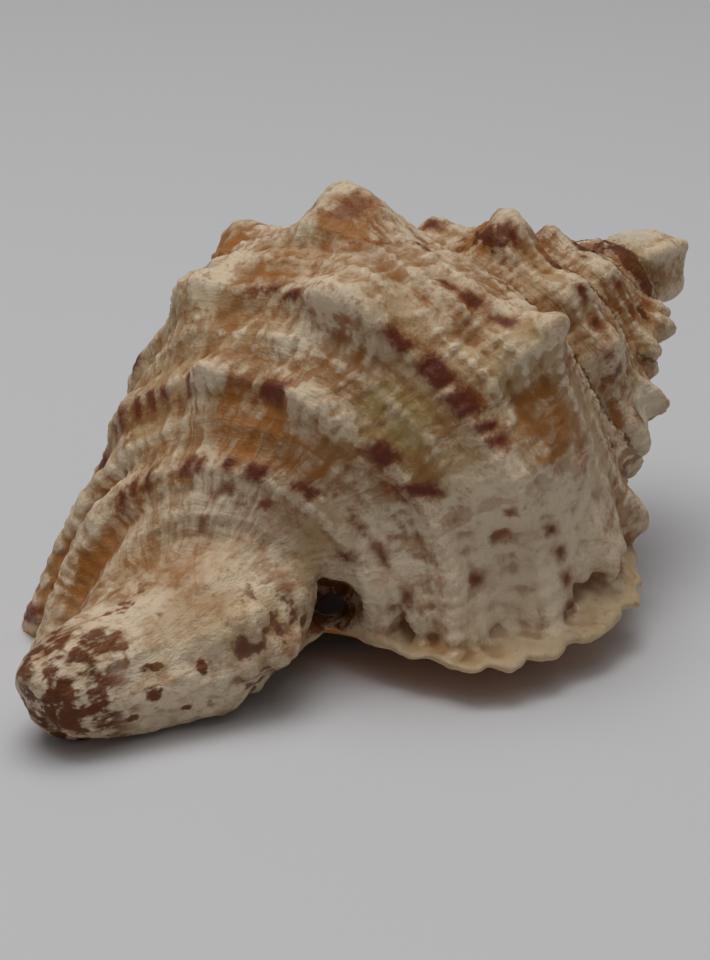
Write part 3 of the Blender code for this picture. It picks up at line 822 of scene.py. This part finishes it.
def sculpture_tree():
    """Raises the cords, threads, beads and growth lines, and the uneven surface between them."""
    group, tree, given, end = geometry_tree("sculpt_surface", (
        ("Cords", "NodeSocketFloat"), ("Cord start", "NodeSocketFloat"), ("Cord height", "NodeSocketFloat"),
        ("Threads per cord", "NodeSocketFloat"), ("Thread height", "NodeSocketFloat"),
        ("Beads per turn", "NodeSocketFloat"), ("Bead height", "NodeSocketFloat"),
        ("Growth lines per turn", "NodeSocketFloat"), ("Growth line height", "NodeSocketFloat"),
        ("Unevenness", "NodeSocketFloat"), ("Ratio", "NodeSocketFloat"),
    ))
    where = tree.wire(tree.node("GeometryNodeInputPosition"))
    normal = tree.wire(tree.node("GeometryNodeInputNormal"))
    place_of = tree.node("ShaderNodeSeparateXYZ", where)
    turn, share = tree.named("turn"), tree.named("share")
    size = given["Ratio"] ** turn
    outside = tree.climb(tree.named("off_mouth"), 0.3, 1.6)
    on_whorls = 1 - tree.climb(tree.named("off_whorls"), 0.5, 1.8)
    on_canal = 1 - tree.climb(tree.named("off_canal"), 0.3, 1.5)
    off_table = tree.climb(tree.wire(place_of, "Z"), 0.0002, 0.002)
    patchy = tree.climb(tree.noise(where, 0.014, 3.0), 0.35, 0.65)

    # Cords, threads, beads and growth lines of the whorls
    wander = tree.noise(where, 0.011, 2.0) - 0.5
    cord_phase = given["Cords"] * (share - given["Cord start"]) + wander * 0.35
    cords = tree.cosine_wave(cord_phase) ** 1.4
    threads = tree.cosine_wave(cord_phase * given["Threads per cord"])
    bead_phase = turn * given["Beads per turn"] + wander * 2.2 + tree.math("FLOOR", cord_phase + 0.5) * 0.37
    beads = tree.cosine_wave(bead_phase) ** 1.3
    line_phase = turn * given["Growth lines per turn"] + wander * 3.0 + (tree.noise(where, 0.03) - 0.5) * 6
    lines = tree.cosine_wave(line_phase)
    on_folds = tree.climb(turn, -0.27, -0.16) * tree.climb(share, 0.68, 0.76)
    of_whorls = cords * given["Cord height"] * tree.climb(share, 0.05, 0.2)
    of_whorls = of_whorls + threads * given["Thread height"] * (0.4 + 0.6 * patchy)
    of_whorls = of_whorls + beads * cords * given["Bead height"] * (0.25 + 0.75 * patchy) * (1 - on_folds * 0.9)
    of_whorls = of_whorls - lines * given["Growth line height"]
    of_whorls = of_whorls * (0.3 + 0.7 * size)

    # The canal is rough lengthways, with scales on a band across its right side
    long_cords = tree.noise(where, 0.0045, 2.0, 0.55, (0.4, 1.0, 1.0)) - 0.5
    at_scales = tree.vector("MULTIPLY", where, (1.0, 0.7, 0.7))
    scales = tree.wire(tree.node("ShaderNodeTexVoronoi", at_scales, 300.0), "Distance")
    on_band = 1 - tree.climb(tree.math("ABSOLUTE", tree.named("down_canal") - 0.45), 0.1, 0.22)
    on_band = on_band * (1 - tree.climb(tree.wire(place_of, "Y"), -0.019, -0.013))
    on_band = on_band * (1 - tree.climb(tree.wire(place_of, "Z"), 0.019, 0.025))
    of_canal = long_cords * given["Unevenness"] * 3.2 - (scales - 0.5) * on_band * 1.6

    uneven = (tree.noise(where, 0.013, 2.0, 0.5) - 0.5) * given["Unevenness"] * 4.0
    granules = tree.noise(where, 0.0028, 2.0, 0.5) - 0.5
    uneven = uneven + granules * given["Unevenness"] * 2.2 * (0.35 + 0.65 * patchy)
    raised = of_whorls * on_whorls * (1 - on_canal * 0.75) + of_canal * on_canal + uneven
    raised = raised * outside * off_table * MM

    # Teeth behind the lip and low ribs inside the mouth
    depth = tree.named("mouth_depth")
    inner = 1 - tree.climb(tree.named("off_mouth"), 0.3, 1.2)
    lip_teeth = tree.cosine_wave(share * given["Cords"] * 1.7) ** 2 * (1 - tree.climb(depth, 0.03, 0.075))
    lip_teeth = lip_teeth * tree.climb(depth, 0.004, 0.02)
    inner_ribs = tree.cosine_wave(share * given["Cords"]) * 0.45 + (tree.noise(where, 0.012, 2.0) - 0.5) * 1.6
    raised = raised + (lip_teeth * 1.5 + inner_ribs) * inner * off_table * MM
    offset = tree.vector("MULTIPLY", normal, raised)
    moved = tree.node("GeometryNodeSetPosition", given["Geometry"], None, None, offset)
    tree.close(end, moved.outputs["Geometry"])
    return group


def shell_material():
    material = bpy.data.materials.new("shell_cream")
    material.use_nodes = True
    return material


def heal_joint(piece):
    """Softens the crease where the last whorl runs down into the canal."""
    mesh = piece.data
    points = points_of(mesh)
    edges = edges_of(mesh)
    near = 1 - ease((field_of(mesh, "off_canal") - 1) / HEAL_REACH)
    near *= 1 - ease((field_of(mesh, "off_whorls") - 1) / HEAL_REACH)
    near *= ease((field_of(mesh, "off_mouth") - 1) / 3) * ease((field_of(mesh, "off_pit") - 1) / 4)
    near *= ease((points[:, 2] / MM - 4) / 4)
    soft = smoothed(points, edges, HEAL_ROUNDS)
    points += smoothed(near, edges, 6) * (soft - points)
    points[:, 2] = np.maximum(points[:, 2], 0)
    mesh.vertices.foreach_set("co", points.reshape(-1))
    mesh.update()


def shell():
    """The whole shell as one finished piece."""
    shell_material()
    reading = reading_tree()
    parts = {"Whorls": whorls(), "Canal": canal(), "Shield": shield()}
    lumps = {name: lump(name, *shape) for name, shape in LUMPS.items()}
    parts["Mouth"] = mouth()
    parts["Pit"] = lumps.pop("pit")
    block = table_block()
    slot = siphon_slot()
    chip = lumps.pop("chip")
    grown = [parts["Whorls"], parts["Canal"], parts["Shield"], *lumps.values()]
    rough = fused("rough", grown, FUSED_VOXEL, 4)
    cut(rough, [parts["Mouth"], parts["Pit"], block])
    cut(rough, [slot, chip])
    piece = fused("shell_skin", [rough], FINE_VOXEL, 1)
    run_tree(piece, reading, parts)
    heal_joint(piece)
    # The crease has moved, so the fields are read again
    run_tree(piece, reading, parts)
    run_tree(piece, sculpture_tree(), SURFACE)
    fewer = piece.modifiers.new("fewer_faces", "DECIMATE")
    piece.data.calc_loop_triangles()
    fewer.ratio = min(1.0, MOST_FACES / len(piece.data.loop_triangles))
    settled(piece)
    run_tree(piece, reading, parts)
    for item in [rough, block, slot, chip, *lumps.values(), *parts.values()]:
        bpy.data.objects.remove(item)
    piece.data.polygons.foreach_set("use_smooth", [True] * len(piece.data.polygons))
    return piece


def spot_depth(turn, share, spots):
    """How many millimetres each point lies inside the nearest spot, and below 0 outside them all."""
    size = WHORL_RATIO**turn
    radius = size * smooth_curve(OUTLINE, share)[..., 0]
    depth = np.full(len(turn), -4.0)
    for at_turn, at_share, half_long, half_wide, slant in spots:
        along = (turn - at_turn) * math.tau * radius
        across = (share - at_share) * OUTLINE_LENGTH * size
        near = np.abs(along) < half_long + 5
        near &= np.abs(across) < half_wide + 5
        over = np.abs(along[near] - slant * across[near]) - half_long
        past = np.abs(across[near]) - half_wide
        outside = np.hypot(np.maximum(over, 0), np.maximum(past, 0))
        depth[near] = np.maximum(depth[near], -(outside + np.minimum(np.maximum(over, past), 0)))
    return depth


def rowed_spots():
    """Spots in rows along the cords, on the whorls and sides that the photograph doesn't show."""
    rng = np.random.default_rng(SEED)
    spots = []
    for row, at_share in enumerate(SPOT_ROWS):
        turn = -0.02
        while turn > -4.3:
            size = WHORL_RATIO**turn
            half_long = size * rng.uniform(1.2, 3.2)
            half_wide = size * rng.uniform(1.0, 2.1)
            slant = rng.uniform(-0.5, 0.5)
            drift = rng.uniform(-0.008, 0.008)
            shown = -0.72 < turn < -0.2 and row > 0
            kept = rng.uniform() < 0.8
            if turn > -0.2 and row == 4:
                half_long, half_wide = half_long * 0.4, half_wide * 0.6
            if kept and not shown:
                spots.append((turn, at_share + drift, half_long, half_wide, slant))
            turn -= size**0.25 * rng.uniform(6.5, 12.5) / (math.tau * size * 45)
    return spots


def wash(points, patches):
    """How strongly soft-edged round patches colour each point, from 0 to 1."""
    strength = np.zeros(len(points))
    for centre, reach, most in patches:
        gap = np.linalg.norm((points - np.array(centre)) / np.array(reach), axis=1)
        strength = np.maximum(strength, most * ease(1.35 - gap))
    return strength


def measure(piece):
    """Fields for the colours: hollows and crests, spots, patches, worn places and the glazed inside."""
    mesh = piece.data
    points = points_of(mesh) / MM
    edges = edges_of(mesh)
    normal = np.empty(len(points) * 3)
    mesh.vertices.foreach_get("normal", normal)
    normal = normal.reshape(-1, 3)
    near = smoothed(points, edges, 8)
    far = smoothed(near, edges, 70)
    set_field(mesh, "groove", smoothed(np.sum((near - points) * normal, axis=1), edges, 2)[:, 0])
    set_field(mesh, "hollow", smoothed(np.sum((far - points) * normal, axis=1), edges, 3)[:, 0])
    turn, share = field_of(mesh, "turn"), field_of(mesh, "share")
    whorl = field_of(mesh, "off_whorls") < 1.5
    dark = spot_depth(turn, share, DARK_SPOTS + tuple(rowed_spots()))
    rusty = spot_depth(turn, share, RUST_SPOTS)
    set_field(mesh, "dark_spot", np.where(whorl, dark, -4.0))
    set_field(mesh, "rust_spot", np.where(whorl, rusty, -4.0))
    for name, patches in PATCHES.items():
        set_field(mesh, name, wash(points, patches))
    under = ease((-normal[:, 2] - 0.05) / 0.5) * ease((field_of(mesh, "off_canal") - 1.0) / 4)
    inside = 1 - ease((field_of(mesh, "off_mouth") - 0.3) / 0.9)
    under *= np.where(whorl, 0.75 * ease((9 - points[:, 2]) / 4), ease((26 - points[:, 2]) / 10))
    set_field(mesh, "glaze", np.maximum(inside, under))
    set_field(mesh, "depth", inside * ease(field_of(mesh, "mouth_depth") / 0.3))


def paint():
    """The shell's cream, its streaks, spots, stains and glaze, in one material."""
    material = bpy.data.materials["shell_cream"]
    tree = Tree(material.node_tree)
    surface = material.node_tree.nodes["Principled BSDF"]
    where = tree.wire(tree.node("ShaderNodeTexCoord"), "Object")

    def field(name):
        return tree.wire(tree.node("ShaderNodeAttribute", attribute_name=name), "Fac")

    turn, share = field("turn"), field("share")
    groove, hollow = field("groove"), field("hollow")
    canal = 1 - tree.climb(field("off_canal"), 0.4, 3.0)
    on_whorls = 1 - tree.climb(field("off_whorls"), 0.8, 2.5)
    broad = tree.noise(where, BROAD, 3.0, 0.55)
    middling = tree.noise(where, MIDDLING, 4.0, 0.6)
    small = tree.noise(where, SMALL, 4.0, 0.6)
    fine = tree.noise(where, FINE, 3.0, 0.6)
    brushed = tree.noise(where, 0.0022, 3.0, 0.65, (0.35, 1.0, 1.0))
    # Streaks follow the growth lines, threads follow the cords
    line = turn * GROWTH_LINES + middling * 2.5
    across_lines = tree.wire(tree.node("ShaderNodeCombineXYZ", line, share * 5, broad))
    streaks = tree.wire(tree.node("ShaderNodeTexNoise", across_lines, 1.0, 3.0, 0.6), "Fac")
    along_cords = tree.wire(tree.node("ShaderNodeCombineXYZ", turn * 9, share * 62 + small * 1.2, broad))
    threads = tree.wire(tree.node("ShaderNodeTexNoise", along_cords, 1.0, 3.0, 0.6), "Fac")

    # Cream and white, with tan and ochre streaks and whiter crests. The belly is plainer
    belly = field("belly")
    colour = tree.blend(tree.climb(broad + belly * 0.35, 0.35, 0.7), CREAM, WHITE)
    tan = tree.climb(middling + (hollow * 0.06) - belly * 0.18, 0.46, 0.68)
    colour = tree.blend(tan * (0.75 - belly * 0.55), colour, TAN)
    streaked = tree.climb(streaks, 0.5, 0.62) * tree.climb(broad, 0.3, 0.55) * on_whorls
    colour = tree.blend(streaked * (0.8 - belly * 0.5), colour, OCHRE)
    threaded = tree.climb(threads, 0.54, 0.66) * on_whorls * tree.climb(middling, 0.35, 0.6)
    colour = tree.blend(threaded * (0.7 - belly * 0.5), colour, OCHRE)
    crests = tree.climb(0.0 - groove, 0.02, 0.13) * tree.climb(small, 0.25, 0.55)
    colour = tree.blend(crests * 0.9, colour, WHITE)

    # Stains gather in grooves and hollows and on the spire. Between the folds of the lip the stain is partly real and
    # partly painted shade in the folds' valleys
    rugged = field("rugged")
    stain = tree.climb(groove + (small - 0.5) * 0.16 + rugged * 0.05, 0.05, 0.22)
    colour = tree.blend(stain * (0.8 - belly * 0.3), colour, STAIN)
    rugged_stain = tree.climb(middling * 0.6 + small * 0.4 + groove * 0.5, 0.5, 0.62) * rugged
    colour = tree.blend(rugged_stain * 0.75, colour, RUST)
    deep_stain = tree.climb(hollow + (middling - 0.5) * 2.0 - belly * 1.0, 0.7, 2.4)
    colour = tree.blend(deep_stain * 0.6, colour, STAIN)
    # Partly real stain, partly painted shade in the valleys between the lip's folds
    fold_stain_and_shade = tree.climb(hollow + groove * 3.0 + (middling - 0.5) * 1.2, -0.9, 0.15) * field("folds")
    colour = tree.blend(fold_stain_and_shade * 0.95, colour, tree.blend(tree.climb(small, 0.4, 0.6), OCHRE_DEEP, STAIN))

    # Fine mottling and specks, with the shield's plain cream, partly its own colour and partly painted shade, and
    # painted shade on the canal root's top between them
    mottle = tree.climb(small * 0.6 + fine * 0.4 + (middling - 0.5) * 0.5, 0.46, 0.62)
    colour = tree.blend(mottle * (0.55 - belly * 0.47), colour, OCHRE)
    # The shield's rim is laid over with a darker cream: partly its own colour, partly painted shade
    shield_tint_and_shade = (1 - tree.climb(field("off_shield"), 0.3, 1.2)) * tree.climb(field("to_edge"), 0.5, 0.75)
    colour = tree.blend(shield_tint_and_shade * (1 - on_whorls) * 0.65, colour, SHIELD_CREAM_AND_SHADE)
    # Painted shade: the up-facing top of the canal's root is darkened to cream
    colour = tree.blend(field("root_painted_shade") * (0.35 + 0.5 * tree.climb(middling, 0.3, 0.6)), colour, CREAM)
    specks = tree.climb(small * 0.6 + fine * 0.4, 0.58, 0.68) * tree.climb(broad, 0.4, 0.6)
    colour = tree.blend(specks * 0.5, colour, RUST)

    # Soft patches of olive, ochre and brown, and painted shade as dark brown inside the pit
    olive = field("olive") * tree.climb(middling, 0.25, 0.6)
    colour = tree.blend(olive * 0.75, colour, OLIVE)
    hatch = tree.either(tree.climb(streaks, 0.42, 0.6), tree.climb(threads, 0.42, 0.6))
    ochre = tree.climb(field("ochre") + (middling - 0.5) * 0.5, 0.25, 0.7) * (0.25 + 0.75 * hatch)
    colour = tree.blend(ochre * 0.85, colour, OCHRE_DEEP)
    ragged_edge = (brushed - 0.5) * 2.0 + (middling - 0.5) * 1.2
    # Brown marks, and painted shade as dark brown inside the pit
    brown_and_pit_shade = tree.climb(field("brown_and_pit_shade") + ragged_edge * tree.climb(field("brown_and_pit_shade"), 0.05, 0.3), 0.36, 0.75)
    colour = tree.blend(brown_and_pit_shade * 0.97, colour, BROWN)

    # Ragged spots: rusty ones, and dark ones with a rusty edge
    ragged = ((small - 0.5) * 1.8 + (streaks - 0.5) * 1.6 + (fine - 0.5)) * (1 - belly * 0.55)
    rusty = tree.climb(field("rust_spot") + ragged, -0.6, 0.7)
    colour = tree.blend(rusty * 0.85, colour, RUST)
    spot = field("dark_spot") + ragged
    halo = tree.climb(spot, -1.3, 0.5)
    colour = tree.blend(halo * 0.8, colour, RUST)
    dark = tree.climb(spot, -0.4, 0.9)
    colour = tree.blend(dark * 0.97, colour, tree.blend(tree.climb(middling, 0.3, 0.7), SPOT, SPOT_PURPLE))

    # The canal is streaked and scaly, with bands of blotches near its tip
    down = field("down_canal")
    blotches = tree.noise(where, 0.0055, 3.0, 0.65, (0.8, 1.0, 1.0))
    tip = tree.climb(down, 0.70, 0.78)
    tip_dark = tree.climb(blotches * 0.5 + brushed * 0.5, 0.455, 0.555) * tip
    root = tree.climb(field("fasciole"), 0.2, 0.8)
    mottled = tree.climb(small * 0.5 + brushed * 0.5 + groove * 1.2, 0.47, 0.58) * root
    middle_spots = tree.climb(blotches, 0.6, 0.68) * tree.climb(down, 0.5, 0.6) * (1 - tip)
    on_canal = canal * (1 - on_whorls)
    brushes = tree.climb(brushed * 0.7 + middling * 0.3, 0.5, 0.62) * canal
    colour = tree.blend(brushes * 0.45, colour, OCHRE)
    colour = tree.blend(mottled * canal * 0.85, colour, PURPLE_BROWN)
    colour = tree.blend(middle_spots * on_canal * 0.9, colour, RUST)
    colour = tree.blend(tip_dark * on_canal * 0.97, colour, BROWN)

    # Worn places are grey-white. The glaze inside is orange, deeper further in
    worn = tree.climb(field("worn") + (small - 0.5) * 0.5, 0.35, 0.65)
    colour = tree.blend(worn * 0.9, colour, tree.blend(tree.climb(small, 0.35, 0.65), WORN_GREY, WHITE))
    glaze, depth = field("glaze"), field("depth")
    rim = tree.climb(field("to_edge") + (middling - 0.5) * 0.5, 0.72, 0.98)
    inside = tree.blend(rim * (1 - tree.climb(depth, 0.0, 0.2)), GLAZE_PALE, CREAM_GLAZE)
    inside = tree.blend(tree.climb(streaks, 0.5, 0.7) * 0.3, inside, GLAZE_DEEP)
    inside = tree.blend(tree.climb(depth + (middling - 0.5) * 0.3, 0.1, 0.8), inside, GLAZE_DEEP)
    colour = tree.blend(glaze, colour, inside)
    tree.feed(surface.inputs["Base Color"], colour)

    # Satin outside, glossy inside, with the finest relief as bump
    rough = 0.52 + (small - 0.5) * 0.3 + stain * 0.15 + worn * 0.2 - dark * 0.1
    tree.feed(surface.inputs["Roughness"], rough * (1 - glaze) + glaze * 0.2)
    height = (small - 0.5) * 0.55 + (fine - 0.5) * 0.35 + (streaks - 0.5) * 1.0 * on_whorls
    height = height + (threads - 0.5) * 0.9 * on_whorls + (brushed - 0.5) * 1.6 * canal
    bump = tree.node("ShaderNodeBump")
    tree.feed(bump.inputs["Height"], height * (1 - glaze * 0.9))
    bump.inputs["Distance"].default_value = 0.0006
    bump.inputs["Strength"].default_value = 0.8
    tree.feed(surface.inputs["Normal"], bump.outputs["Normal"])
    surface.inputs["Specular IOR Level"].default_value = 0.22


def studio():
    """A pale floor, soft light from above and the photograph's viewpoint."""
    far = TABLE_HALF
    floor_mesh = bpy.data.meshes.new("floor")
    floor_mesh.from_pydata([(-far, -far, 0), (far, -far, 0), (far, far, 0), (-far, far, 0)], [], [(0, 1, 2, 3)])
    floor = new_item("floor", floor_mesh)
    finish = bpy.data.materials.new("pale_table")
    finish.use_nodes = True
    finish.node_tree.nodes["Principled BSDF"].inputs["Base Color"].default_value = TABLE_GREY
    finish.node_tree.nodes["Principled BSDF"].inputs["Roughness"].default_value = 0.7
    floor.data.materials.append(finish)
    world = bpy.data.worlds.new("room")
    world.use_nodes = True
    world.node_tree.nodes["Background"].inputs["Color"].default_value = ROOM_LIGHT
    world.node_tree.nodes["Background"].inputs["Strength"].default_value = ROOM_STRENGTH
    bpy.context.scene.world = world
    for name, (spot, aim, size, power) in LIGHTS.items():
        light = bpy.data.lights.new(name, "AREA")
        light.size = size
        light.energy = power
        lamp = new_item(name, light)
        lamp.location = spot
        lamp.rotation_euler = (Vector(spot) - Vector(aim)).to_track_quat("Z", "Y").to_euler()
    camera = new_item("camera", bpy.data.cameras.new("camera"))
    camera.data.lens = CAMERA_LENS
    azimuth, height = math.radians(CAMERA_AZIMUTH), math.radians(CAMERA_HEIGHT)
    back = Vector((math.sin(azimuth) * math.cos(height), -math.cos(azimuth) * math.cos(height), math.sin(height)))
    aim = (Vector(CAMERA_AIM) + Vector(CENTRING)) * MM
    camera.location = aim + back * CAMERA_DISTANCE
    camera.rotation_euler = back.to_track_quat("Z", "Y").to_euler()
    bpy.context.scene.camera = camera
    bpy.context.scene.view_settings.view_transform = "Standard"


piece = shell()
measure(piece)
paint()
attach(piece, "root")
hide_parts("shell")
studio()
